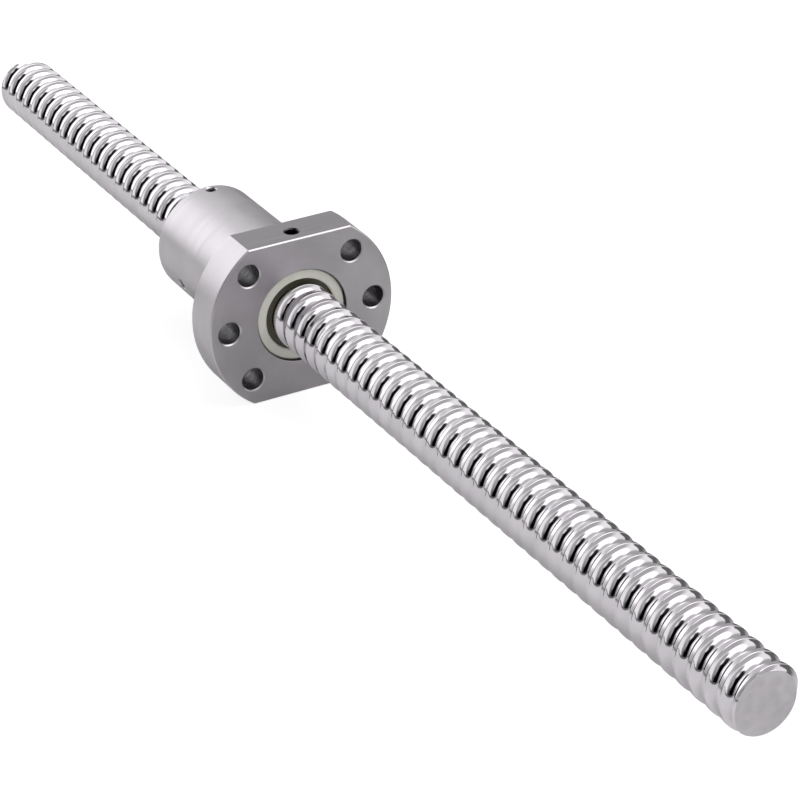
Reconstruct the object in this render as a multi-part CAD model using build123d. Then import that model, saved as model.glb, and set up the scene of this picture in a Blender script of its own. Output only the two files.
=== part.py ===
"""Ball screw assembly: a rolled screw with a flanged, internally recirculating ball nut.

Millimetres. The screw's axis is X, and the flange's two flats face up and down (Z).
The origin is on the axis, in the plane of the flange's seat, which is its face on the body side.
Angles about the axis run from +Y towards +Z, so they are right-handed about +X.
"""
from build123d import *
import math
import os

# Thread, shared by the screw and the nut
LEAD = 5.0
BALL_DIAMETER = 3.175
BALL_CIRCLE = 16.9          # diameter of the circle through the ball centres
SCREW_DIAMETER = 16.0       # over the lands
SCREW_GROOVE = 2.0          # radius of each flank of the gothic arch
NUT_GROOVE = 1.78
ARCH_OFFSET = 0.03          # of a flank's centre from the ball's, along the axis and across it
SEGMENT_TURNS = 10          # turns in one length of twisted blank

# Screw
SCREW_LENGTH = 350.0
SCREW_FRONT = 196.0         # X of the front end
END_CHAMFER = 0.4

# Nut
BODY_DIAMETER = 28.0
BODY_LENGTH = 40.0          # behind the flange
BODY_CHAMFER = 0.8
FLANGE_DIAMETER = 48.0
FLANGE_THICKNESS = 10.0
FLANGE_ACROSS_FLATS = 40.0
FLANGE_CHAMFER = 0.3
NUT_BORE = 17.2             # over the nut's lands
BOLT_CIRCLE = 38.0
BOLT_HOLE = 5.5
BOLT_ANGLES = (0, 45, 135, 180, 225, 315)
BOLT_CHAMFER = 0.3

# Lubrication port, an M4 thread at its tapping size, with an oilway to the bore
OIL_PORT_X = 5.75
OIL_PORT_DIAMETER = 3.3
OIL_PORT_DEPTH = 6.5
OIL_PORT_CHAMFER = 0.3
OILWAY_DIAMETER = 2.4

# Wipers
WIPER_RECESS = 23.4
FRONT_RECESS_DEPTH = 3.0
REAR_RECESS_DEPTH = 5.2
WIPER_DIAMETER = 22.7
WIPER_INSET = 0.7           # behind the nut's end face
WIPER_SEAT_GAP = 0.05
WIPER_MOUTH = 18.0          # the wider mouth in front of the lip
WIPER_LIP = 1.0             # length of the threaded lip
WIPER_CLEARANCE = 0.4       # all round the screw's thread
WIPER_CHAMFER = 0.3
SNAP_BEAD = 0.25            # bead on the front wiper, in a groove of the recess
SNAP_BEAD_WIDTH = 0.9
SNAP_GAP = 0.1

# Grub screws that hold the rear wiper
GRUB_ANGLES = (90, 270)
GRUB_X = -37.3
GRUB_DIAMETER = 2.5
GRUB_TIP_RADIUS = 10.7      # distance of the tip from the screw's axis
GRUB_SUNK = 0.5             # below the body's surface
GRUB_SOCKET = 1.3           # across flats
GRUB_SOCKET_DEPTH = 1.1

# Ball circuits: each is one turn, closed by a deflector
CIRCUITS = 4
FIRST_CIRCUIT_X = -28.5
FIRST_CIRCUIT_ANGLE = 200.0
CIRCUIT_ADVANCE = 1.25      # turns of thread from one circuit to the next
BALLS_PER_CIRCUIT = 16
CROSSOVER_HALF_ANGLE = 34.0
LIFT_FLAT_HALF_ANGLE = 16.0
BALL_LIFT = 1.55            # how far the crossover lifts a ball over the screw's land

# Deflectors, pushed into blind pockets from inside and pinned through the body's wall
POCKET_LENGTH = 11.4        # around the axis
POCKET_WIDTH = 9.6          # along the axis
POCKET_CORNER = 2.0
POCKET_RADIUS = 12.7        # distance of the pocket's floor from the axis
DEFLECTOR_GAP = 0.05
CHANNEL_RADIUS = 1.85
CHANNEL_HALF_ANGLE = 44.0
CHANNEL_STEPS = 16
PIN_DIAMETER = 2.5
PIN_INNER_RADIUS = 12.05
PIN_SUNK = 0.45
FIT_GAP = 0.01              # radial gap round a pin or a grub screw

CIRCLE_RADIUS = BALL_CIRCLE / 2
BALL_RADIUS = BALL_DIAMETER / 2
LEAD_ANGLE = math.atan(LEAD / (math.pi * BALL_CIRCLE))
# Where the groove's centre crosses the angle 0, from the first circuit's place
THREAD_PHASE = FIRST_CIRCUIT_X - LEAD / 2 - LEAD * FIRST_CIRCUIT_ANGLE / 360
FLANK_STEPS = 10


def on_axis(x, radius, angle):
    """The point at a place along the axis, a distance from it and an angle about it."""
    a = math.radians(angle)
    return Vector(x, radius * math.cos(a), radius * math.sin(a))


def disc(radius, x_from, x_to):
    """A solid cylinder on the axis."""
    return extrude(Plane.YZ.offset(x_from) * Circle(radius), x_to - x_from)


def radial_plane(x, angle, radius):
    """A plane facing outwards, whose local X is the object's X and whose local Y goes around."""
    return Plane(origin=on_axis(x, radius, angle), x_dir=(1, 0, 0), z_dir=on_axis(0, 1, angle))


def radial_rod(radius, x, angle, r_from, r_to):
    """A cylinder that points away from the axis."""
    return extrude(radial_plane(x, angle, r_from) * Circle(radius), r_to - r_from)


def flank_points(edge_radius, side, groove):
    """One flank of the gothic arch, from its root to the land, as (offset, distance from axis).

    side is -1 for a groove in the screw and +1 for a groove in the nut.
    """
    centre = CIRCLE_RADIUS - side * ARCH_OFFSET
    root = math.asin(ARCH_OFFSET / groove)
    edge = math.acos((edge_radius - centre) / (side * groove))
    turns = [root + (edge - root) * i / FLANK_STEPS for i in range(FLANK_STEPS + 1)]
    return [(groove * math.sin(t) - ARCH_OFFSET, centre + side * groove * math.cos(t)) for t in turns]


def thread_section(edge_radius, side, groove, x):
    """The section of the thread square to the axis, at x: a land arc and two flanks."""
    middle = 2 * math.pi * (x - THREAD_PHASE) / LEAD
    flanks = []
    for hand in (1, -1):
        points = []
        for offset, radius in flank_points(edge_radius, side, groove):
            turn = middle + hand * 2 * math.pi * offset / math.cos(LEAD_ANGLE) / LEAD
            points.append(Vector(radius * math.cos(turn), radius * math.sin(turn)))
        flanks.append(points)
    far = Vector(-math.cos(middle), -math.sin(middle)) * edge_radius
    land = ThreePointArc(flanks[0][-1], far, flanks[1][-1])
    return Face(Wire([Spline(*flanks[0]), land, Spline(*flanks[1])]))


def threaded_core(diameter, side, groove, x_from, x_to):
    """A rod with the thread's full form, twisted from its section, between two places on X."""
    lengths = []
    start = x_from
    while start < x_to - 1e-6:
        run = min(SEGMENT_TURNS * LEAD, x_to - start)
        blank = Solid.extrude_linear_with_rotation(
            thread_section(diameter / 2, side, groove, start), (0, 0, 0), (0, 0, run), 360 * run / LEAD)
        lengths.append(Plane.YZ.offset(start).location * blank)
        start += run
    return lengths[0].fuse(*lengths[1:]) if len(lengths) > 1 else lengths[0]


def smooth_step(t):
    return t * t * (3 - 2 * t)


def ball_track(angle):
    """Where a ball's centre runs, for a circuit whose deflector is at X 0 and angle 0.

    From the crossover to 180 degrees it follows one turn of the thread, and from -180 degrees
    back to the crossover the next. The crossover lifts it over the land between the two.
    """
    lower_turn = LEAD * angle / 360 - LEAD / 2
    reach = abs(angle)
    if reach >= CROSSOVER_HALF_ANGLE:
        return on_axis(lower_turn + (LEAD if angle < 0 else 0), CIRCLE_RADIUS, angle)
    across = smooth_step((CROSSOVER_HALF_ANGLE - angle) / (2 * CROSSOVER_HALF_ANGLE))
    ramp = CROSSOVER_HALF_ANGLE - LIFT_FLAT_HALF_ANGLE
    lift = BALL_LIFT * smooth_step(min(1.0, (CROSSOVER_HALF_ANGLE - reach) / ramp))
    return on_axis(lower_turn + LEAD * across, CIRCLE_RADIUS + lift, angle)


def at_circuit(number, shape):
    """A shape made for X 0 and angle 0, moved to a circuit's place, numbered from 0."""
    turns = number * CIRCUIT_ADVANCE
    return Pos(FIRST_CIRCUIT_X + turns * LEAD, 0, 0) * Rot(X=FIRST_CIRCUIT_ANGLE + turns * 360) * shape


def ball_circuit():
    """The balls of one circuit, evenly spaced along its closed track."""
    steps = 1440
    points = [ball_track(-180 + 360 * i / steps) for i in range(steps + 1)]
    travelled = [0.0]
    for before, after in zip(points, points[1:]):
        travelled.append(travelled[-1] + (after - before).length)
    balls = []
    for number in range(BALLS_PER_CIRCUIT):
        wanted = travelled[-1] * number / BALLS_PER_CIRCUIT
        centre = points[min(range(steps), key=lambda i: abs(travelled[i] - wanted))]
        balls.append(Pos(*centre) * Sphere(BALL_RADIUS))
    return balls


def crossover_channel():
    """The space that the balls need in the deflector, as short rods with a ball at each joint."""
    step = 2 * CHANNEL_HALF_ANGLE / CHANNEL_STEPS
    path = [ball_track(i * step - CHANNEL_HALF_ANGLE) for i in range(CHANNEL_STEPS + 1)]
    pieces = [Pos(*point) * Sphere(CHANNEL_RADIUS) for point in path]
    for start, end in zip(path, path[1:]):
        rod = Plane(start, z_dir=end - start) * Circle(CHANNEL_RADIUS)
        pieces.append(extrude(rod, (end - start).length))
    return pieces


def deflector_blank(gap):
    """The deflector's outline, pushed out from the axis to the pocket's floor, less a gap."""
    length = POCKET_LENGTH - 2 * gap
    width = POCKET_WIDTH - 2 * gap
    outline = RectangleRounded(width, length, POCKET_CORNER - gap)
    block = extrude(radial_plane(0, 0, 0) * outline, BODY_DIAMETER / 2)
    return block & disc(POCKET_RADIUS - gap, -POCKET_WIDTH, POCKET_WIDTH)


def deflector_pin_hole():
    return radial_rod(PIN_DIAMETER / 2 + FIT_GAP, 0, 0, PIN_INNER_RADIUS, BODY_DIAMETER)


def deflector():
    """A return piece whose S-shaped channel leads the balls back by one turn of the thread."""
    piece = deflector_blank(DEFLECTOR_GAP)
    piece -= disc(NUT_BORE / 2 + DEFLECTOR_GAP, -POCKET_WIDTH, POCKET_WIDTH)
    for rod_or_ball in crossover_channel():
        piece -= rod_or_ball
    piece -= deflector_pin_hole()
    return max(piece.solids(), key=lambda solid: solid.volume)


def deflector_pin():
    """The dowel that locates a deflector, sunk a little below the body's surface."""
    return radial_rod(PIN_DIAMETER / 2, 0, 0, PIN_INNER_RADIUS, BODY_DIAMETER / 2 - PIN_SUNK)


def screw_shaft():
    back = SCREW_FRONT - SCREW_LENGTH
    core = threaded_core(SCREW_DIAMETER, -1, SCREW_GROOVE, back, SCREW_FRONT)
    blank = disc(SCREW_DIAMETER / 2 + 0.1, back, SCREW_FRONT)
    return core & chamfer(blank.edges().filter_by(GeomType.CIRCLE), END_CHAMFER + 0.1)


def bevel(point, inward, radius, depth):
    """The cone that breaks the edge of a hole's mouth."""
    return Solid.make_cone(radius + depth, radius, depth, Plane(point, z_dir=inward))


def bolt_hole(angle):
    """A through hole in the flange, bevelled at both mouths."""
    centre = on_axis(0, BOLT_CIRCLE / 2, angle)
    front = centre + Vector(FLANGE_THICKNESS, 0, 0)
    hole = Pos(*centre) * disc(BOLT_HOLE / 2, -1, FLANGE_THICKNESS + 1)
    hole += bevel(centre, (1, 0, 0), BOLT_HOLE / 2, BOLT_CHAMFER)
    return hole + bevel(front, (-1, 0, 0), BOLT_HOLE / 2, BOLT_CHAMFER)


def oil_port():
    """The port in the upper flat, with its oilway down to the bore."""
    flat = FLANGE_ACROSS_FLATS / 2
    mouth = Vector(OIL_PORT_X, 0, flat)
    port = radial_rod(OIL_PORT_DIAMETER / 2, OIL_PORT_X, 90, flat - OIL_PORT_DEPTH, flat + 1)
    port += radial_rod(OILWAY_DIAMETER / 2, OIL_PORT_X, 90, 0, flat)
    return port + bevel(mouth, (0, 0, -1), OIL_PORT_DIAMETER / 2, OIL_PORT_CHAMFER)


def snap_ring(radius, width):
    """The bead on the front wiper, or the groove for it."""
    middle = FLANGE_THICKNESS - FRONT_RECESS_DEPTH / 2
    return disc(radius, middle - width / 2, middle + width / 2)


def nut_body():
    body = disc(BODY_DIAMETER / 2, -BODY_LENGTH, FLANGE_THICKNESS / 2)
    body = chamfer(body.faces().sort_by(Axis.X)[0].edges(), BODY_CHAMFER)
    flange = disc(FLANGE_DIAMETER / 2, 0, FLANGE_THICKNESS)
    flange &= Box(4 * FLANGE_THICKNESS, 2 * FLANGE_DIAMETER, FLANGE_ACROSS_FLATS)
    for end in (0, -1):
        flange = chamfer(flange.faces().sort_by(Axis.X)[end].edges(), FLANGE_CHAMFER)
    nut = body + flange
    for angle in BOLT_ANGLES:
        nut -= bolt_hole(angle)
    nut -= oil_port()
    nut -= disc(WIPER_RECESS / 2, FLANGE_THICKNESS - FRONT_RECESS_DEPTH, FLANGE_THICKNESS + 1)
    nut -= disc(WIPER_RECESS / 2, -BODY_LENGTH - 1, REAR_RECESS_DEPTH - BODY_LENGTH)
    nut -= snap_ring(WIPER_RECESS / 2 + SNAP_BEAD, SNAP_BEAD_WIDTH + SNAP_GAP)
    for angle in GRUB_ANGLES:
        nut -= radial_rod(GRUB_DIAMETER / 2 + FIT_GAP, GRUB_X, angle, NUT_BORE / 2, BODY_DIAMETER)
    for circuit in range(CIRCUITS):
        nut -= at_circuit(circuit, deflector_blank(0))
        nut -= at_circuit(circuit, deflector_pin_hole())
    return nut - threaded_core(NUT_BORE, 1, NUT_GROOVE, -BODY_LENGTH - 1, FLANGE_THICKNESS + 1)


def wiper(end_x, inward, depth):
    """A ring from just inside the nut's end to the recess floor, with a threaded lip at the back."""
    face_x = end_x + inward * WIPER_INSET
    back_x = end_x + inward * (depth - WIPER_SEAT_GAP)
    lip_x = back_x - inward * WIPER_LIP
    low, high = sorted((face_x, back_x))
    ring = disc(WIPER_DIAMETER / 2, low, high)
    outer = ring.faces().sort_by(Axis.X)[0 if inward > 0 else -1].edges()
    ring = chamfer(outer, WIPER_CHAMFER)
    ring -= disc(WIPER_MOUTH / 2, *sorted((face_x - inward, lip_x)))
    return ring - threaded_core(SCREW_DIAMETER + 2 * WIPER_CLEARANCE, -1,
                                SCREW_GROOVE - WIPER_CLEARANCE, low - 1, high + 1)


def front_wiper():
    ring = wiper(FLANGE_THICKNESS, -1, FRONT_RECESS_DEPTH)
    bead = snap_ring(WIPER_RECESS / 2 + SNAP_BEAD - SNAP_GAP, SNAP_BEAD_WIDTH)
    return ring + (bead - snap_ring(WIPER_DIAMETER / 2 - SNAP_BEAD, 2 * SNAP_BEAD_WIDTH))


def rear_wiper():
    ring = wiper(-BODY_LENGTH, 1, REAR_RECESS_DEPTH)
    for angle in GRUB_ANGLES:
        ring -= radial_rod(GRUB_DIAMETER / 2 + FIT_GAP, GRUB_X, angle, GRUB_TIP_RADIUS, BODY_DIAMETER)
    return ring


def rear_wiper_grub_screw(angle):
    """A grub screw with a hexagon socket, from the wiper's rim to just under the body's surface."""
    top = BODY_DIAMETER / 2 - GRUB_SUNK
    screw = radial_rod(GRUB_DIAMETER / 2, GRUB_X, angle, GRUB_TIP_RADIUS, top)
    socket = RegularPolygon(GRUB_SOCKET / 2, 6, major_radius=False)
    return screw - extrude(radial_plane(GRUB_X, angle, top - GRUB_SOCKET_DEPTH) * socket, GRUB_SOCKET_DEPTH)


def all_parts():
    """Every sub-part by its node's name; the key of a repeated one ends in its number."""
    parts = {"screw_shaft": screw_shaft(), "nut_body": nut_body(),
             "front_wiper": front_wiper(), "rear_wiper": rear_wiper()}
    balls, return_piece, pin = ball_circuit(), deflector(), deflector_pin()
    for circuit in range(CIRCUITS):
        placed_balls = [at_circuit(circuit, ball) for ball in balls]
        parts[f"ball_circuit_{circuit + 1}"] = Compound(children=placed_balls)
        parts[f"deflector_{circuit + 1}"] = at_circuit(circuit, return_piece)
        parts[f"deflector_pin_{circuit + 1}"] = at_circuit(circuit, pin)
    for number, angle in enumerate(GRUB_ANGLES, 1):
        parts[f"rear_wiper_grub_screw_{number}"] = rear_wiper_grub_screw(angle)
    return parts


os.makedirs("parts", exist_ok=True)
for node, shape in all_parts().items():
    export_step(shape, f"parts/{node}.step")
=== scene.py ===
"""Looks of the ball screw assembly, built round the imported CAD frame. Metres, Z up, the screw's axis is X.

Angles about the axis run from +Y towards +Z. A profile is a list of (place along an axis, distance
from it). The screw, the nut's body and the two wipers are made here at the CAD's sizes, finer than
the CAD's own meshes; the other pieces are the CAD's, with finished materials.
"""

import math

import bmesh
import bpy
import numpy as np
from mathutils import Euler, Matrix, Vector


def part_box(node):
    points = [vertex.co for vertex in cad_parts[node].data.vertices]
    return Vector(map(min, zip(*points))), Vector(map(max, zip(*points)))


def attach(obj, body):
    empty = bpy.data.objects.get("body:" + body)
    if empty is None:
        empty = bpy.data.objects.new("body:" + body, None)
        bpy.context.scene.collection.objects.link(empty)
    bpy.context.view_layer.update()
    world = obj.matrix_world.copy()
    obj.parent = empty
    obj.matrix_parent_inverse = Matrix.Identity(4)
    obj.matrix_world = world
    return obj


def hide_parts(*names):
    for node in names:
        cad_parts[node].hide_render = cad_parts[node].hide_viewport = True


MM = 0.001

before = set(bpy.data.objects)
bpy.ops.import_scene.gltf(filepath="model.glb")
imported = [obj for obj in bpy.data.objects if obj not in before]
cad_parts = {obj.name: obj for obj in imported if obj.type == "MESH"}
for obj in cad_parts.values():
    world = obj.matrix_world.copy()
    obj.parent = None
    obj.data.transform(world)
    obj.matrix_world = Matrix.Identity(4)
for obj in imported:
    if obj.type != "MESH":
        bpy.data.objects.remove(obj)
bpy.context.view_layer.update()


# Sizes, as in the CAD part ------------------------------------------------------------------

LEAD = 5.0 * MM
CIRCLE_RADIUS = 8.45 * MM           # through the ball centres
SCREW_GROOVE = 2.0 * MM             # radius of each flank of the gothic arch
NUT_GROOVE = 1.78 * MM
ARCH_OFFSET = 0.03 * MM             # of a flank's centre from the ball's
LAND_RADIUS = 8.0 * MM
NUT_LAND_RADIUS = 8.6 * MM
THREAD_PHASE = 1.2222 * MM          # X of the groove's centre at the angle 0
LEAD_ANGLE = math.atan(LEAD / (2 * math.pi * CIRCLE_RADIUS))

SCREW_BACK, SCREW_FRONT = (corner.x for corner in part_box("screw_shaft"))
NUT_BACK, NUT_FRONT = (corner.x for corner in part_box("nut_body"))
BODY_RADIUS = 14.0 * MM
FLANGE_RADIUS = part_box("nut_body")[1].y
FLAT_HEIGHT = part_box("nut_body")[1].z

BOLT_RADIUS = 2.75 * MM
BOLT_CIRCLE_RADIUS = 19.0 * MM
BOLT_ANGLES = (0, 45, 135, 180, 225, 315)
OIL_PORT_X = 5.75 * MM
OIL_PORT_FLOOR = 13.5 * MM          # distance of the port's floor from the axis
OILWAY_START = CIRCLE_RADIUS - MM
OILWAY_RADIUS = 1.2 * MM
RECESS_RADIUS = 11.7 * MM
FRONT_RECESS = 3.0 * MM
REAR_RECESS = 5.2 * MM
SMALL_HOLE_RADIUS = 1.26 * MM       # for the pins and the grub screws
GRUB_X = -37.3 * MM
GRUB_ANGLES = (90, 270)
GRUB_TIP = 10.7 * MM
CIRCUITS = 4
FIRST_CIRCUIT_X = -28.5 * MM
FIRST_CIRCUIT_ANGLE = 200.0
CIRCUIT_ADVANCE = 1.25              # turns of thread from one circuit to the next


# Camera -------------------------------------------------------------------------------------

CAMERA_PLACE = Vector((NUT_FRONT + 0.5490, -0.2776, 0.3104))
CAMERA_AZIMUTH = 61.08
CAMERA_ELEVATION = 28.47
CAMERA_ROLL = -0.9
CAMERA_LENS = 132.2
CAMERA_REACH = 20.0


def towards(azimuth, elevation):
    """The direction from the object to a place seen at this azimuth and elevation, in degrees."""
    azimuth, elevation = math.radians(azimuth), math.radians(elevation)
    return Vector((math.sin(azimuth) * math.cos(elevation),
                   -math.cos(azimuth) * math.cos(elevation),
                   math.sin(elevation)))


def link(name, data):
    thing = bpy.data.objects.new(name, data)
    bpy.context.scene.collection.objects.link(thing)
    return thing


def make_camera():
    camera = link("camera", bpy.data.cameras.new("camera"))
    back = towards(CAMERA_AZIMUTH, CAMERA_ELEVATION)
    turn = back.to_track_quat("Z", "Y") @ Euler((0, 0, math.radians(CAMERA_ROLL))).to_quaternion()
    camera.matrix_world = Matrix.Translation(CAMERA_PLACE) @ turn.to_matrix().to_4x4()
    camera.data.lens = CAMERA_LENS
    camera.data.clip_end = CAMERA_REACH
    bpy.context.scene.camera = camera


make_camera()


# Mesh tools ---------------------------------------------------------------------------------

BODY_SEGMENTS = 256
HOLE_SEGMENTS = 64
SHARP_ANGLE = math.radians(32)
MOST_OF_RUN = 0.45                  # the share of a run that the arc at one of its ends may take
CUT_TOLERANCE = 1e-8


def round_corners(points, radius, steps=3):
    """The same outline with each inner corner of its polyline turned into a short arc."""
    points = [Vector(p) for p in points]
    rounded = [points[0]]
    for before, corner, after in zip(points, points[1:], points[2:]):
        to_before, to_after = before - corner, after - corner
        half = to_before.angle(to_after) / 2
        shorter = min(to_before.length, to_after.length)
        back_off = min(radius / math.tan(half), MOST_OF_RUN * shorter)
        start = corner + to_before.normalized() * back_off
        end = corner + to_after.normalized() * back_off
        reach = back_off / math.cos(half)
        centre = corner + (to_before.normalized() + to_after.normalized()).normalized() * reach
        for i in range(steps + 1):
            point = start.lerp(end, i / steps) - centre
            rounded.append(centre + point.normalized() * back_off * math.tan(half))
    return rounded + [points[-1]]


def add_lathe(bm, profile, segments, place=Matrix.Identity(4)):
    """Adds a closed solid of revolution about the local X, capped flat at both ends."""
    rings = []
    for x, radius in profile:
        turns = [2 * math.pi * i / segments for i in range(segments)]
        points = [place @ Vector((x, radius * math.cos(t), radius * math.sin(t))) for t in turns]
        rings.append([bm.verts.new(p) for p in points])
    for ring, other in zip(rings, rings[1:]):
        for i in range(segments):
            j = (i + 1) % segments
            bm.faces.new((ring[i], ring[j], other[j], other[i]))
    bm.faces.new(reversed(rings[0]))
    bm.faces.new(rings[-1])


def along_axis(radius, angle):
    """Places a lathe parallel to the object's axis."""
    return Matrix.Rotation(math.radians(angle), 4, "X") @ Matrix.Translation((0, radius, 0))


def outwards(x, angle):
    """Places a lathe so that it points away from the object's axis."""
    turn = Matrix.Rotation(math.radians(angle), 4, "X") @ Matrix.Rotation(math.pi / 2, 4, "Z")
    return Matrix.Translation((x, 0, 0)) @ turn


def fill_open_edges(bm):
    """Caps what a cut has left open, and turns every face outwards."""
    bmesh.ops.holes_fill(bm, edges=[e for e in bm.edges if e.is_boundary], sides=0)
    bmesh.ops.recalc_face_normals(bm, faces=bm.faces)


def cut_plane(bm, place, normal, clear=True):
    """Cuts the solid by a plane, and clears the side that the normal points to."""
    geometry = bm.verts[:] + bm.edges[:] + bm.faces[:]
    bmesh.ops.bisect_plane(bm, geom=geometry, dist=CUT_TOLERANCE, plane_co=place,
                           plane_no=normal, clear_outer=clear)


def piece_from(bm, name):
    """Turns a bmesh into an object, and frees it."""
    mesh = bpy.data.meshes.new(name)
    bm.to_mesh(mesh)
    bm.free()
    return link(name, mesh)


def subtract(piece, cutters):
    """Cuts a group of solids, which are clear of each other, out of a piece."""
    bmesh.ops.recalc_face_normals(cutters, faces=cutters.faces)
    tool = piece_from(cutters, "cutters")
    modifier = piece.modifiers.new("cut", "BOOLEAN")
    modifier.object = tool
    modifier.operation = "DIFFERENCE"
    modifier.solver = "EXACT"
    graph = bpy.context.evaluated_depsgraph_get()
    cut_mesh = bpy.data.meshes.new_from_object(piece.evaluated_get(graph))
    piece.modifiers.clear()
    old = piece.data
    piece.data = cut_mesh
    cut_mesh.name = piece.name
    bpy.data.meshes.remove(old)
    bpy.data.meshes.remove(tool.data)


def finish_piece(piece, node, body, materials, choose=None):
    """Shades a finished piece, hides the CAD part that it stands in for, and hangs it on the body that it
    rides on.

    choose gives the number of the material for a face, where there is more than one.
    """
    mesh = piece.data
    for face in mesh.polygons:
        face.use_smooth = True
    mesh.set_sharp_from_angle(angle=SHARP_ANGLE)
    mesh.materials.clear()
    for material in materials:
        mesh.materials.append(material)
    if choose:
        for face in mesh.polygons:
            face.material_index = choose(face)
    smoothing = piece.modifiers.new("weighted normals", "WEIGHTED_NORMAL")
    smoothing.keep_sharp = True
    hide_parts(node)
    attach(piece, body)


# Thread -------------------------------------------------------------------------------------

STEPS_PER_TURN = 64
FLANK_STEPS = 6
SHOULDER_ROUND = 0.16 * MM
SHOULDER_STEPS = 3


def flank(side, groove, edge_radius):
    """One flank of the arch from its root to the land: -1 for the screw's groove, +1 for the nut's."""
    centre = CIRCLE_RADIUS - side * ARCH_OFFSET
    root = math.asin(ARCH_OFFSET / groove)
    edge = math.acos((edge_radius - centre) / (side * groove))
    turns = [root + (edge - root) * i / FLANK_STEPS for i in range(FLANK_STEPS + 1)]
    return [Vector((groove * math.sin(t) - ARCH_OFFSET, centre + side * groove * math.cos(t)))
            for t in turns]


def screw_flank():
    """The screw's flank, with the edge to the land rounded."""
    centre = Vector((-ARCH_OFFSET, CIRCLE_RADIUS + ARCH_OFFSET))
    round_y = LAND_RADIUS - SHOULDER_ROUND
    reach = SCREW_GROOVE + SHOULDER_ROUND
    round_centre = Vector((centre.x + math.sqrt(reach ** 2 - (round_y - centre.y) ** 2), round_y))
    tangent = (round_centre - centre).normalized()
    points = flank(-1, SCREW_GROOVE, centre.y + tangent.y * SCREW_GROOVE)
    start = math.atan2(-tangent.y, -tangent.x)
    for i in range(1, SHOULDER_STEPS + 1):
        turn = start + (math.pi / 2 - start) * i / SHOULDER_STEPS
        points.append(round_centre + SHOULDER_ROUND * Vector((math.cos(turn), math.sin(turn))))
    return points


def thread_profile(half):
    """A whole groove, along the axis, from its flank; the land closes it to the next turn."""
    half = [Vector((p.x / math.cos(LEAD_ANGLE), p.y)) for p in half]
    return [Vector((-p.x, p.y)) for p in reversed(half[1:])] + half


def helical_mesh(profile, lead, phase, x_from, x_to, steps):
    """A rod about X with the profile wound round it, left open and reaching past both places on X, for the
    caller to cut square there.
    """
    turns_from = math.floor((x_from - phase) / lead) - 1
    turns_to = math.ceil((x_to - phase) / lead) + 2
    columns = (turns_to - turns_from) * steps + 1
    rows = len(profile)
    angle = 2 * math.pi * (np.arange(columns) / steps + turns_from)
    offset, radius = np.array(profile).T
    x = phase + lead * angle[:, None] / (2 * math.pi) + offset[None, :]
    y = np.cos(angle)[:, None] * radius[None, :]
    z = np.sin(angle)[:, None] * radius[None, :]
    points = np.stack([x, y, z], axis=-1).reshape(-1, 3)

    def index(column, row):
        # The row after the last is the first row of the next turn.
        return (column + steps * (row // rows)) * rows + row % rows

    faces = [(index(c, r), index(c + 1, r), index(c + 1, r + 1), index(c, r + 1))
             for c in range(columns - 1 - steps) for r in range(rows)]
    mesh = bpy.data.meshes.new("thread")
    mesh.from_pydata(points.tolist(), [], faces)
    return mesh


def add_thread(bm, profile, x_from, x_to):
    """Adds a rod with the screw's lead, capped square at both ends."""
    mesh = helical_mesh(profile, LEAD, THREAD_PHASE, x_from, x_to, STEPS_PER_TURN)
    rod = bmesh.new()
    rod.from_mesh(mesh)
    bpy.data.meshes.remove(mesh)
    cut_plane(rod, (x_from, 0, 0), (-1, 0, 0))
    cut_plane(rod, (x_to, 0, 0), (1, 0, 0))
    fill_open_edges(rod)
    finished = bpy.data.meshes.new("rod")
    rod.to_mesh(finished)
    rod.free()
    bm.from_mesh(finished)
    bpy.data.meshes.remove(finished)


# Screw --------------------------------------------------------------------------------------

END_CHAMFER = 0.4 * MM
CHAMFER_STEPS = 3
END_FACING = 0.9                    # of a face's normal along X, above which it is part of an end


def screw_finish(face):
    """0 for the thread and 1 for the two ends."""
    depth = min(face.center.x - SCREW_BACK, SCREW_FRONT - face.center.x)
    return int(depth < END_CHAMFER / 2 and abs(face.normal.x) > END_FACING)


def make_screw(materials):
    """The threaded rod, with its two ends pulled in to a chamfer."""
    bm = bmesh.new()
    add_thread(bm, thread_profile(screw_flank()), SCREW_BACK, SCREW_FRONT)
    for end, inward in ((SCREW_BACK, 1), (SCREW_FRONT, -1)):
        for i in range(1, CHAMFER_STEPS + 1):
            cut_plane(bm, (end + inward * END_CHAMFER * i / CHAMFER_STEPS, 0, 0), (1, 0, 0), False)
    for vert in bm.verts:
        depth = min(vert.co.x - SCREW_BACK, SCREW_FRONT - vert.co.x)
        allowed = LAND_RADIUS - END_CHAMFER + max(depth, 0)
        across = math.hypot(vert.co.y, vert.co.z)
        if across > allowed:
            vert.co.yz = vert.co.yz * (allowed / across)
    finish_piece(piece_from(bm, "screw"), "screw_shaft", "screw", materials, screw_finish)


# Nut ----------------------------------------------------------------------------------------

EDGE_ROUND = 0.12 * MM
FLANGE_CHAMFER = 0.3 * MM
BODY_CHAMFER = 0.8 * MM
MOUTH_CHAMFER = 0.3 * MM
PAST = 0.4 * MM                     # how far a cutter runs past the surface that it opens
SNAP_FROM, SNAP_TO = NUT_FRONT - 2.0 * MM, NUT_FRONT - 1.0 * MM
SNAP_DEPTH = 0.25 * MM
POCKET_LENGTH = 11.4 * MM
POCKET_WIDTH = 9.6 * MM
POCKET_CORNER = 2.0 * MM
POCKET_CORNER_STEPS = 6
POCKET_SIDE_STEPS = 4
POCKET_INNER = 6.0 * MM             # where a pocket's cutter starts, clear inside the bore
POCKET_RADIUS = 12.7 * MM
PIN_INNER_RADIUS = 12.05 * MM
PORT_THREAD_PITCH = 0.7 * MM
PORT_RADII = 1.65 * MM, 1.98 * MM   # over the crests and to the roots of the port's M4 thread
PORT_THREAD_START = 0.3 * MM        # of the thread, above the port's floor
PORT_THREAD_END = 0.35 * MM         # past the port's mouth
PORT_FLANK = 0.42                   # a flank's width, as a share of half the pitch
PORT_WALL = OIL_PORT_FLOOR - 0.1 * MM, FLAT_HEIGHT - 0.02 * MM
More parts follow.
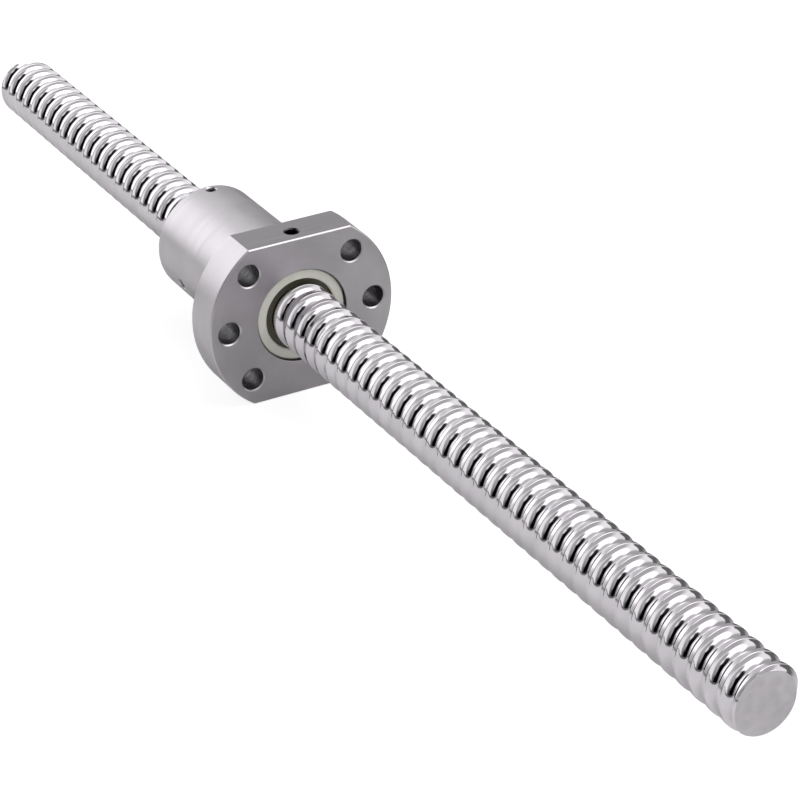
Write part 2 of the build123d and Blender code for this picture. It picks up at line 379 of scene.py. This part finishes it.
PORT_WALL_RADIUS = PORT_RADII[1] + 0.05 * MM
WALL_TOLERANCE = 0.03 * MM          # how far a flat face's middle may lie off a round wall


def nut_blank():
    """The nut's body and flange, turned in one piece, with the two flats milled on."""
    outline = [(NUT_BACK, 0), (NUT_BACK, BODY_RADIUS - BODY_CHAMFER),
               (NUT_BACK + BODY_CHAMFER, BODY_RADIUS), (0, BODY_RADIUS),
               (0, FLANGE_RADIUS - FLANGE_CHAMFER), (FLANGE_CHAMFER, FLANGE_RADIUS),
               (NUT_FRONT - FLANGE_CHAMFER, FLANGE_RADIUS),
               (NUT_FRONT, FLANGE_RADIUS - FLANGE_CHAMFER), (NUT_FRONT, 0)]
    bm = bmesh.new()
    add_lathe(bm, round_corners(outline, EDGE_ROUND)[1:-1], BODY_SEGMENTS)
    for side in (-1, 1):
        cut_plane(bm, (0, 0, side * FLAT_HEIGHT), (0, 0, side))
        fill_open_edges(bm)
    return piece_from(bm, "nut")


def add_edge_wedges(bm):
    """The cutters that chamfer the long edges between the two flats and the flange's faces."""
    reach = FLANGE_CHAMFER + PAST
    for side in (-1, 1):
        for end, outward in ((0, -1), (NUT_FRONT, 1)):
            inner, outer = end - outward * reach, end + outward * PAST
            low, high = side * (FLAT_HEIGHT - reach), side * (FLAT_HEIGHT + PAST)
            corners = ((inner, high), (outer, high), (outer, low))
            ends = [[bm.verts.new((x, y, z)) for x, z in corners]
                    for y in (-FLANGE_RADIUS, FLANGE_RADIUS)]
            for i in range(3):
                j = (i + 1) % 3
                bm.faces.new((ends[0][i], ends[0][j], ends[1][j], ends[1][i]))
            bm.faces.new(reversed(ends[0]))
            bm.faces.new(ends[1])


def hole_profile(start, end, radius, flare_start=False, flare_end=True):
    """A hole's cutter, wider at a mouth that is broken by a chamfer."""
    points = [(start, radius), (end, radius)]
    wide = radius + MOUTH_CHAMFER + PAST
    if flare_start:
        points = [(start - PAST, wide), (start + MOUTH_CHAMFER, radius)] + points[1:]
    if flare_end:
        points = points[:-1] + [(end - MOUTH_CHAMFER, radius), (end + PAST, wide)]
    return points


def add_pocket(bm, place):
    """A deflector's pocket: a rounded oblong pushed out from the axis to a curved floor."""
    straight = POCKET_LENGTH / 2 - POCKET_CORNER
    corner = [math.pi / 2 * i / POCKET_CORNER_STEPS for i in range(POCKET_CORNER_STEPS + 1)]
    half = [(straight + POCKET_CORNER * math.sin(t),
             POCKET_WIDTH / 2 - POCKET_CORNER + POCKET_CORNER * math.cos(t)) for t in corner]
    middle = [(straight * i / POCKET_SIDE_STEPS, POCKET_WIDTH / 2)
              for i in range(1 - POCKET_SIDE_STEPS, POCKET_SIDE_STEPS)]
    columns = [(-y, w) for y, w in reversed(half)] + middle + half
    sections = []
    for y, width in columns:
        outer = math.sqrt(POCKET_RADIUS ** 2 - y ** 2)
        corners = [(-width, y, POCKET_INNER), (width, y, POCKET_INNER),
                   (width, y, outer), (-width, y, outer)]
        sections.append([bm.verts.new(place @ Vector(c)) for c in corners])
    for section, other in zip(sections, sections[1:]):
        for i in range(4):
            j = (i + 1) % 4
            bm.faces.new((section[i], section[j], other[j], other[i]))
    bm.faces.new(reversed(sections[0]))
    bm.faces.new(sections[-1])


def circuit_places():
    """Each ball circuit's place along the axis and its angle about it, at its deflector."""
    for circuit in range(CIRCUITS):
        turns = circuit * CIRCUIT_ADVANCE
        yield FIRST_CIRCUIT_X + turns * LEAD, FIRST_CIRCUIT_ANGLE + 360 * turns


def add_port_thread(bm):
    """The M4 thread in the lubrication port, made along X and then stood upright."""
    low, high = OIL_PORT_FLOOR + PORT_THREAD_START, FLAT_HEIGHT + PORT_THREAD_END
    crest, root = PORT_RADII
    flank_width = PORT_FLANK * PORT_THREAD_PITCH / 2
    profile = [(-flank_width, crest), (0, root), (flank_width, crest)]
    mesh = helical_mesh(profile, PORT_THREAD_PITCH, 0, low, high, HOLE_SEGMENTS // 2)
    rod = bmesh.new()
    rod.from_mesh(mesh)
    cut_plane(rod, (low, 0, 0), (-1, 0, 0))
    cut_plane(rod, (high, 0, 0), (1, 0, 0))
    fill_open_edges(rod)
    rod.transform(outwards(OIL_PORT_X, 90))
    rod.to_mesh(mesh)
    rod.free()
    bm.from_mesh(mesh)
    bpy.data.meshes.remove(mesh)


def nut_finish(face):
    """1 for the walls of the bolt holes, the lubrication port and the wipers' recesses, which are coloured
    dark as painted shade, else 0.
    """
    place = face.center
    off_axis = math.hypot(place.y, place.z)
    depth = min(place.x - NUT_BACK, NUT_FRONT - place.x)
    if depth < FRONT_RECESS and abs(off_axis - RECESS_RADIUS) < WALL_TOLERANCE:
        return 1
    if PORT_WALL[0] < place.z < PORT_WALL[1]:
        if math.hypot(place.x - OIL_PORT_X, place.y) < PORT_WALL_RADIUS:
            return 1
    for angle in BOLT_ANGLES:
        turn = math.radians(angle)
        off_hole = math.hypot(place.y - BOLT_CIRCLE_RADIUS * math.cos(turn),
                              place.z - BOLT_CIRCLE_RADIUS * math.sin(turn))
        if off_hole < BOLT_RADIUS + WALL_TOLERANCE:
            return 1
    return 0


def make_nut(materials):
    """The nut, in three rounds of cuts, each with cutters that are clear of each other."""
    nut = nut_blank()
    first = bmesh.new()
    nut_thread = thread_profile(flank(1, NUT_GROOVE, NUT_LAND_RADIUS))
    add_thread(first, nut_thread, NUT_BACK - PAST, NUT_FRONT + PAST)
    add_edge_wedges(first)
    for angle in BOLT_ANGLES:
        add_lathe(first, hole_profile(0, NUT_FRONT, BOLT_RADIUS, flare_start=True), HOLE_SEGMENTS,
                  along_axis(BOLT_CIRCLE_RADIUS, angle))
    subtract(nut, first)

    second = bmesh.new()
    front = [(NUT_FRONT - FRONT_RECESS, RECESS_RADIUS), (SNAP_FROM, RECESS_RADIUS),
             (SNAP_FROM, RECESS_RADIUS + SNAP_DEPTH), (SNAP_TO, RECESS_RADIUS + SNAP_DEPTH),
             (SNAP_TO, RECESS_RADIUS), (NUT_FRONT - EDGE_ROUND, RECESS_RADIUS),
             (NUT_FRONT + PAST, RECESS_RADIUS + PAST + EDGE_ROUND)]
    rear = [(NUT_BACK - PAST, RECESS_RADIUS + PAST + EDGE_ROUND),
            (NUT_BACK + EDGE_ROUND, RECESS_RADIUS), (NUT_BACK + REAR_RECESS, RECESS_RADIUS)]
    add_lathe(second, front, BODY_SEGMENTS)
    add_lathe(second, rear, BODY_SEGMENTS)
    oilway = [(OILWAY_START, OILWAY_RADIUS), (OIL_PORT_FLOOR, OILWAY_RADIUS)]
    port = hole_profile(OIL_PORT_FLOOR, FLAT_HEIGHT, PORT_RADII[0])
    add_lathe(second, oilway + port, HOLE_SEGMENTS, outwards(OIL_PORT_X, 90))
    for x, angle in circuit_places():
        turn = Matrix.Rotation(math.radians(angle - 90), 4, "X")
        add_pocket(second, Matrix.Translation((x, 0, 0)) @ turn)
    subtract(nut, second)

    third = bmesh.new()
    add_port_thread(third)
    pin_hole = hole_profile(PIN_INNER_RADIUS, BODY_RADIUS, SMALL_HOLE_RADIUS)
    for x, angle in circuit_places():
        add_lathe(third, pin_hole, HOLE_SEGMENTS, outwards(x, angle))
    grub_hole = hole_profile(GRUB_TIP, BODY_RADIUS, SMALL_HOLE_RADIUS)
    for angle in GRUB_ANGLES:
        add_lathe(third, grub_hole, HOLE_SEGMENTS, outwards(GRUB_X, angle))
    subtract(nut, third)
    finish_piece(nut, "nut_body", "nut", materials, nut_finish)


# Wipers -------------------------------------------------------------------------------------

WIPER_RADIUS = 11.35 * MM
WIPER_INSET = 0.7 * MM
WIPER_SEAT_GAP = 0.05 * MM
WIPER_LIP = 1.0 * MM
WIPER_CLEARANCE = 0.4 * MM
WIPER_MOUTH_RADIUS = 9.0 * MM
WIPER_ROUND = 0.28 * MM
FLARE_ROUND = 0.2 * MM              # where the mouth's flare meets its bore
BEAD_RADIUS = RECESS_RADIUS + 0.15 * MM
BEAD_WIDTH = 0.9 * MM


def make_wiper(node, end, inward, depth, bead, materials):
    """A plastic ring in the nut's end, with a lip at the back that follows the screw's thread."""
    face = end + inward * WIPER_INSET
    back = end + inward * (depth - WIPER_SEAT_GAP)
    lip = back - inward * WIPER_LIP
    outline = [(face, 0), (face, WIPER_RADIUS)]
    if bead:
        middle = end + inward * depth / 2
        for step in (-1, 1):
            foot = middle + step * inward * BEAD_WIDTH / 2
            corners = [(foot, WIPER_RADIUS), (middle + step * inward * BEAD_WIDTH / 4, BEAD_RADIUS)]
            outline += corners if step < 0 else corners[::-1]
    outline += [(back, WIPER_RADIUS), (back, 0)]
    blank = bmesh.new()
    add_lathe(blank, round_corners(outline, WIPER_ROUND)[1:-1], BODY_SEGMENTS)
    bmesh.ops.recalc_face_normals(blank, faces=blank.faces)
    ring = piece_from(blank, node + "_ring")

    mouth = bmesh.new()
    flare = [(face - inward * PAST, WIPER_MOUTH_RADIUS + PAST + WIPER_ROUND),
             (face, WIPER_MOUTH_RADIUS + WIPER_ROUND),
             (face + inward * WIPER_ROUND, WIPER_MOUTH_RADIUS), (lip, WIPER_MOUTH_RADIUS),
             (lip, CIRCLE_RADIUS)]
    add_lathe(mouth, round_corners(flare, FLARE_ROUND), BODY_SEGMENTS)
    subtract(ring, mouth)

    thread = bmesh.new()
    low, high = sorted((face, back))
    lip_flank = flank(-1, SCREW_GROOVE - WIPER_CLEARANCE, LAND_RADIUS + WIPER_CLEARANCE)
    add_thread(thread, thread_profile(lip_flank), low - PAST, high + PAST)
    if not bead:
        for angle in GRUB_ANGLES:
            add_lathe(thread, [(GRUB_TIP, SMALL_HOLE_RADIUS), (BODY_RADIUS, SMALL_HOLE_RADIUS)],
                      HOLE_SEGMENTS, outwards(GRUB_X, angle))
    subtract(ring, thread)
    finish_piece(ring, node, "nut", materials)


# Materials ----------------------------------------------------------------------------------

class Nodes:
    """A short way to write a node tree: each method adds a node and gives its output."""

    def __init__(self, tree):
        self.tree = tree
        tree.nodes.clear()

    def add(self, kind, inputs=(), **settings):
        node = self.tree.nodes.new(kind)
        for name, value in settings.items():
            setattr(node, name, value)
        for key, value in dict(inputs).items():
            if isinstance(value, bpy.types.NodeSocket):
                self.tree.links.new(value, node.inputs[key])
            else:
                node.inputs[key].default_value = value
        return node

    def math(self, operation, *values):
        return self.add("ShaderNodeMath", enumerate(values), operation=operation).outputs[0]

    def span(self, value, low, high, to_low=0.0, to_high=1.0):
        """A value taken smoothly from one range to another."""
        inputs = {"Value": value, "From Min": low, "From Max": high, "To Min": to_low, "To Max": to_high}
        return self.add("ShaderNodeMapRange", inputs, interpolation_type="SMOOTHSTEP").outputs[0]

    def noise(self, vector, scale, detail=2.0):
        inputs = {"Vector": vector, "Scale": scale, "Detail": detail}
        return self.add("ShaderNodeTexNoise", inputs).outputs["Fac"]

    def mix_colour(self, factor, first, second):
        node = self.add("ShaderNodeMix", data_type="RGBA")
        for socket, value in zip([node.inputs[0], node.inputs[6], node.inputs[7]],
                                 [factor, first, second]):
            if isinstance(value, bpy.types.NodeSocket):
                self.tree.links.new(value, socket)
            else:
                socket.default_value = value
        return node.outputs[2]

    def bump(self, height, distance, normal=None):
        inputs = {"Height": height, "Distance": distance, "Strength": 1.0}
        if normal:
            inputs["Normal"] = normal
        return self.add("ShaderNodeBump", inputs).outputs[0]

    def vector(self, x, y, z):
        return self.add("ShaderNodeCombineXYZ", {0: x, 1: y, 2: z}).outputs[0]


class Surface(Nodes):
    """A material's nodes, with the place on the piece: x along the axis, and radius from it."""

    def __init__(self, name):
        self.material = bpy.data.materials.new(name)
        self.material.use_nodes = True
        super().__init__(self.material.node_tree)
        coordinates = self.add("ShaderNodeTexCoord")
        self.place = coordinates.outputs["Object"]
        apart = self.add("ShaderNodeSeparateXYZ", {0: self.place})
        self.x, self.y, self.z = apart.outputs
        facing = self.add("ShaderNodeSeparateXYZ", {0: coordinates.outputs["Normal"]})
        self.facing_x = self.math("ABSOLUTE", facing.outputs[0])
        across = self.vector(0.0, self.y, self.z)
        self.radius = self.add("ShaderNodeVectorMath", {0: across}, operation="LENGTH").outputs["Value"]

    def tool_lines(self, along, per_metre, run=60.0, detail=3.0):
        """Fine lines around the axis, that vary quickly along one measure and slowly around."""
        stretched = self.vector(self.math("MULTIPLY", along, per_metre),
                                self.math("MULTIPLY", self.y, run),
                                self.math("MULTIPLY", self.z, run))
        return self.noise(stretched, 1.0, detail)

    def finish(self, **inputs):
        names = {name.replace("_", " "): value for name, value in inputs.items()}
        shader = self.add("ShaderNodeBsdfPrincipled", names)
        output = self.add("ShaderNodeOutputMaterial", {"Surface": shader.outputs[0]})
        output.target = "ALL"
        return self.material


WHOLE_TURNS = 200 * LEAD            # keeps the place along the thread positive


def grey(value, warmth=0.0):
    """A steel's colour: a grey with a trace of violet, or of brown where warmth is given."""
    return (value * (1.015 + warmth), value * (0.975 + warmth / 2), value * (1.025 - warmth), 1.0)


def ground_screw_steel():
    """Hardened thread, ground bright: fine lines that follow the helix, and a thin film of oil."""
    s = Surface("ground_screw_steel")
    turns = s.math("DIVIDE", s.math("ARCTAN2", s.z, s.y), 2 * math.pi)
    unwound = s.math("SUBTRACT", s.x, s.math("MULTIPLY", turns, LEAD))
    along = s.math("MODULO", s.math("ADD", unwound, WHOLE_TURNS - THREAD_PHASE - LEAD / 2), LEAD)
    lines = s.tool_lines(along, 9000.0)
    film = s.noise(s.place, 140.0)
    worn = s.span(s.radius, LAND_RADIUS - 0.25 * MM, LAND_RADIUS - 0.02 * MM)
    base = s.mix_colour(s.span(film, 0.3, 0.7), grey(0.74), grey(0.82))
    rough = s.math("ADD", s.span(lines, 0.35, 0.65, 0.05, 0.10), s.math("MULTIPLY", worn, 0.05))
    rough = s.math("ADD", rough, s.span(film, 0.4, 0.75, 0.0, 0.03))
    return s.finish(Base_Color=base, Metallic=1.0, Roughness=rough,
                    Normal=s.bump(lines, 0.0012 * MM))


def cut_end_steel():
    """The screw's ends, faced off square: rings from the tool round a small pip at the centre."""
    s = Surface("cut_end_steel")
    rings = s.tool_lines(s.radius, 4200.0, 20.0)
    stain = s.noise(s.place, 420.0, 4.0)
    base = s.mix_colour(s.span(stain, 0.3, 0.7), grey(0.82), grey(0.92))
    rough = s.span(rings, 0.3, 0.7, 0.34, 0.48)
    return s.finish(Base_Color=base, Metallic=1.0, Roughness=rough,
                    Normal=s.bump(rings, 0.006 * MM))


def ground_nut_steel():
    """The nut: its round surfaces ground satin, its faces turned, and its two flats milled; the faces and
    flats are coloured darker as painted shade.
    """
    s = Surface("ground_nut_steel")
    face = s.span(s.facing_x, 0.8, 0.9)
    flat = s.math("GREATER_THAN", s.math("ABSOLUTE", s.z), FLAT_HEIGHT - 0.03 * MM)
    ground = s.tool_lines(s.x, 5200.0)
    turned = s.tool_lines(s.radius, 3600.0)
    mill = s.vector(s.math("MULTIPLY", s.x, 3000.0), s.math("MULTIPLY", s.y, 70.0), 0.0)
    milled = s.noise(mill, 1.0, 3.0)
    blotches = s.noise(s.place, 90.0, 3.0)
    lines = s.mix_colour(face, ground, turned)
    lines = s.mix_colour(flat, lines, milled)
    # The faces and the two flats get darker greys than the round surfaces: painted shade, for the darker
    # light they mirror.
    colour = s.mix_colour(s.span(blotches, 0.3, 0.7), grey(0.62), grey(0.68))
    face_colour_painted_shade = s.mix_colour(s.span(blotches, 0.3, 0.7), grey(0.53), grey(0.61))
    colour = s.mix_colour(face, colour, face_colour_painted_shade)
    colour = s.mix_colour(flat, colour, s.mix_colour(s.span(milled, 0.3, 0.7), grey(0.36), grey(0.43)))
    rough = s.span(lines, 0.3, 0.7, 0.30, 0.42)
    rough = s.math("ADD", rough, s.span(blotches, 0.35, 0.7, 0.0, 0.06))
    return s.finish(Base_Color=colour, Metallic=1.0, Roughness=rough,
                    Normal=s.bump(lines, 0.003 * MM))


def hole_wall_painted_shade():
    """The walls of the drilled holes and of the wipers' recesses: rough, and coloured near black as painted
    shade.
    """
    s = Surface("hole_wall_painted_shade")
    spiral = s.tool_lines(s.x, 2200.0, 200.0)
    mottle = s.noise(s.place, 700.0, 3.0)
    # Painted shade: near-black greys, mottled at random.
    base = s.mix_colour(s.span(mottle, 0.3, 0.7), grey(0.06), grey(0.11))
    return s.finish(Base_Color=base, Metallic=1.0, Roughness=s.span(spiral, 0.3, 0.7, 0.24, 0.36),
                    Normal=s.bump(spiral, 0.004 * MM))


def polished_ball_steel():
    """The balls, lapped to a mirror, with a slight haze."""
    s = Surface("polished_ball_steel")
    haze = s.noise(s.place, 900.0, 3.0)
    base = s.mix_colour(haze, grey(0.72), grey(0.80))
    return s.finish(Base_Color=base, Metallic=1.0, Roughness=s.span(haze, 0.3, 0.7, 0.03, 0.08))


def sintered_deflector_steel():
    """Pressed powder metal, slightly porous and dull."""
    s = Surface("sintered_deflector_steel")
    grain = s.noise(s.place, 5200.0, 4.0)
    pores = s.span(grain, 0.62, 0.70)
    base = s.mix_colour(pores, grey(0.42, 0.02), grey(0.16))
    return s.finish(Base_Color=base, Metallic=1.0, Roughness=s.span(grain, 0.3, 0.7, 0.45, 0.62),
                    Normal=s.bump(grain, 0.01 * MM))


def black_oxide_steel():
    """Grub screws and dowels, chemically blacked."""
    s = Surface("black_oxide_steel")
    grain = s.noise(s.place, 2600.0, 3.0)
    base = s.mix_colour(grain, grey(0.05), grey(0.11))
    return s.finish(Base_Color=base, Metallic=0.8, Roughness=s.span(grain, 0.3, 0.7, 0.32, 0.5),
                    Normal=s.bump(grain, 0.004 * MM))


def moulded_wiper_plastic():
    """Ivory acetal, machined smooth, with faint lines from turning, and painted shade darkening its mouth.
    """
    s = Surface("moulded_wiper_plastic")
    cloud = s.noise(s.place, 260.0, 3.0)
    turned = s.tool_lines(s.radius, 2600.0)
    ivory_tone = s.mix_colour(s.span(cloud, 0.3, 0.7), (0.88, 0.87, 0.78, 1.0), (0.93, 0.92, 0.84, 1.0))
    # Painted shade: the ring turns dark olive from just behind its face inwards, in the mouth and beyond.
    depth = s.math("MINIMUM", s.math("SUBTRACT", NUT_FRONT, s.x), s.math("SUBTRACT", s.x, NUT_BACK))
    mouth_painted_shade = s.span(depth, WIPER_INSET + 0.15 * MM, WIPER_INSET + 0.7 * MM)
    base = s.mix_colour(mouth_painted_shade, ivory_tone, (0.13, 0.125, 0.085, 1.0))
    shader_inputs = {"Subsurface_Weight": 0.15, "Subsurface_Scale": 0.6 * MM}
    return s.finish(Base_Color=base, Roughness=s.span(turned, 0.3, 0.7, 0.36, 0.5),
                    Normal=s.bump(turned, 0.004 * MM), **shader_inputs)


# Floor and light ----------------------------------------------------------------------------

FLOOR_RADIUS = 4.0
FLOOR_SEGMENTS = 96
FLOOR_GAP = 0.1 * MM
PAPER_MIDDLE = -70 * MM
PAPER_EDGE = 95 * MM, 180 * MM      # where the pale paper gives way to the dark table
PAPER_TINT, TABLE_TINT = 0.82, 0.16
# A painted shadow of the screw on the floor: a darker strip in its tint, which the steel mirrors.
PAINTED_SHADOW_MIDDLE = 17 * MM
PAINTED_SHADOW_EDGE = 5.1 * MM, 20.4 * MM    # where the painted shadow beside the screw starts to fade, and ends
PAINTED_SHADOW = 0.4                         # how much darker the painted shadow makes the floor's tint
SEEN_TINT, SEEN_GLOW = 0.35, 0.85   # the same paper to the camera: white, with a faint shadow
WHITE = (1.0, 1.0, 1.0, 1.0)


def make_floor():
    """Pale paper on a dark table, with a painted shadow along the screw, as the steel mirrors it; the camera
    sees it all as white.
    """
    bm = bmesh.new()
    bmesh.ops.create_circle(bm, cap_ends=True, segments=FLOOR_SEGMENTS, radius=FLOOR_RADIUS)
    floor = piece_from(bm, "floor")
    floor.location.z = -FLAT_HEIGHT - FLOOR_GAP
    s = Surface("floor_paper")
    off_paper = s.math("ABSOLUTE", s.math("SUBTRACT", s.y, PAPER_MIDDLE))
    tint = s.span(off_paper, *PAPER_EDGE, PAPER_TINT, TABLE_TINT)
    # Painted shadow: the tint is darkened in a strip along the screw.
    off_painted_shadow = s.math("ABSOLUTE", s.math("SUBTRACT", s.y, PAINTED_SHADOW_MIDDLE))
    tint = s.math("MULTIPLY", tint, s.span(off_painted_shadow, *PAINTED_SHADOW_EDGE, 1.0 - PAINTED_SHADOW, 1.0))
    seen = s.add("ShaderNodeLightPath").outputs["Is Camera Ray"]
    tint = s.math("ADD", tint, s.math("MULTIPLY", seen, s.math("SUBTRACT", SEEN_TINT, tint)))
    colour = s.add("ShaderNodeCombineColor", {0: tint, 1: tint, 2: tint}).outputs[0]
    paper = s.add("ShaderNodeBsdfDiffuse", {"Color": colour})
    glow = s.add("ShaderNodeEmission", {"Strength": s.math("MULTIPLY", seen, SEEN_GLOW)})
    both = s.add("ShaderNodeAddShader", {0: paper.outputs[0], 1: glow.outputs[0]})
    s.add("ShaderNodeOutputMaterial", {"Surface": both.outputs[0]})
    floor.data.materials.append(s.material)


# The studio's even light, and each patch that differs from it:
# azimuth, elevation, half-angle of its even part and of its soft edge, brightness
STUDIO_LIGHT = 0.98
STUDIO = (
    (160, 66, 20, 44, 2.2),         # the lamp overhead
    (288, 16, 16, 30, 1.6),         # the lamp on the left
    (60, 38, 12, 28, 0.45),         # the room behind the camera, in four places
    (84, 50, 6, 20, 0.40),
    (42, 18, 8, 20, 0.32),
    (118, 14, 16, 32, 0.48),
    (218, 8, 20, 42, 0.42),         # the gaps between the panels behind the object
    (255, 62, 14, 34, 0.62),
    (335, 62, 8, 22, 0.10),
    (328, 8, 6, 22, 0.40),
    (28, 3, 8, 20, 0.15),           # the doorway on the left, from the floor up to the ceiling
    (0, 8, 17, 34, 0.0),
    (0, 32, 15, 30, 0.0),
    (4, 56, 17, 32, 0.0),
    (22, 68, 7, 17, 0.03),
    (47, 54, 4, 12, 0.95),          # the even light again, beside the doorway's top
)


def make_studio():
    """White panels overhead and all round, with the darker gaps that the bright steel mirrors."""
    world = bpy.data.worlds.new("studio")
    bpy.context.scene.world = world
    world.use_nodes = True
    n = Nodes(world.node_tree)
    direction = n.add("ShaderNodeTexCoord").outputs["Generated"]
    light = STUDIO_LIGHT
    for azimuth, elevation, inner, outer, brightness in STUDIO:
        dot = n.add("ShaderNodeVectorMath", {0: direction, 1: towards(azimuth, elevation)},
                    operation="DOT_PRODUCT").outputs["Value"]
        inside = n.span(dot, math.cos(math.radians(outer)), math.cos(math.radians(inner)))
        drop = n.math("MULTIPLY", inside, n.math("SUBTRACT", brightness, light))
        light = n.math("ADD", light, drop)
    seen = n.add("ShaderNodeLightPath").outputs["Is Camera Ray"]
    studio = n.add("ShaderNodeBackground", {"Color": WHITE, "Strength": light})
    plain = n.add("ShaderNodeBackground", {"Color": WHITE, "Strength": 1.0})
    both = n.add("ShaderNodeMixShader", {0: seen, 1: studio.outputs[0], 2: plain.outputs[0]})
    n.add("ShaderNodeOutputWorld", {"Surface": both.outputs[0]})
    bpy.context.scene.view_settings.view_transform = "Standard"


# The whole object ---------------------------------------------------------------------------

nut_steel, plastic = ground_nut_steel(), moulded_wiper_plastic()
make_screw([ground_screw_steel(), cut_end_steel()])
make_nut([nut_steel, hole_wall_painted_shade()])
make_wiper("front_wiper", NUT_FRONT, -1, FRONT_RECESS, True, [plastic])
make_wiper("rear_wiper", NUT_BACK, 1, REAR_RECESS, False, [plastic])

finishes = {"ball_steel": polished_ball_steel(), "deflector_steel": sintered_deflector_steel(),
            "black_steel": black_oxide_steel()}
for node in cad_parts.values():
    for slot in node.material_slots:
        if slot.material.name in finishes:
            slot.material = finishes[slot.material.name]

make_floor()
make_studio()
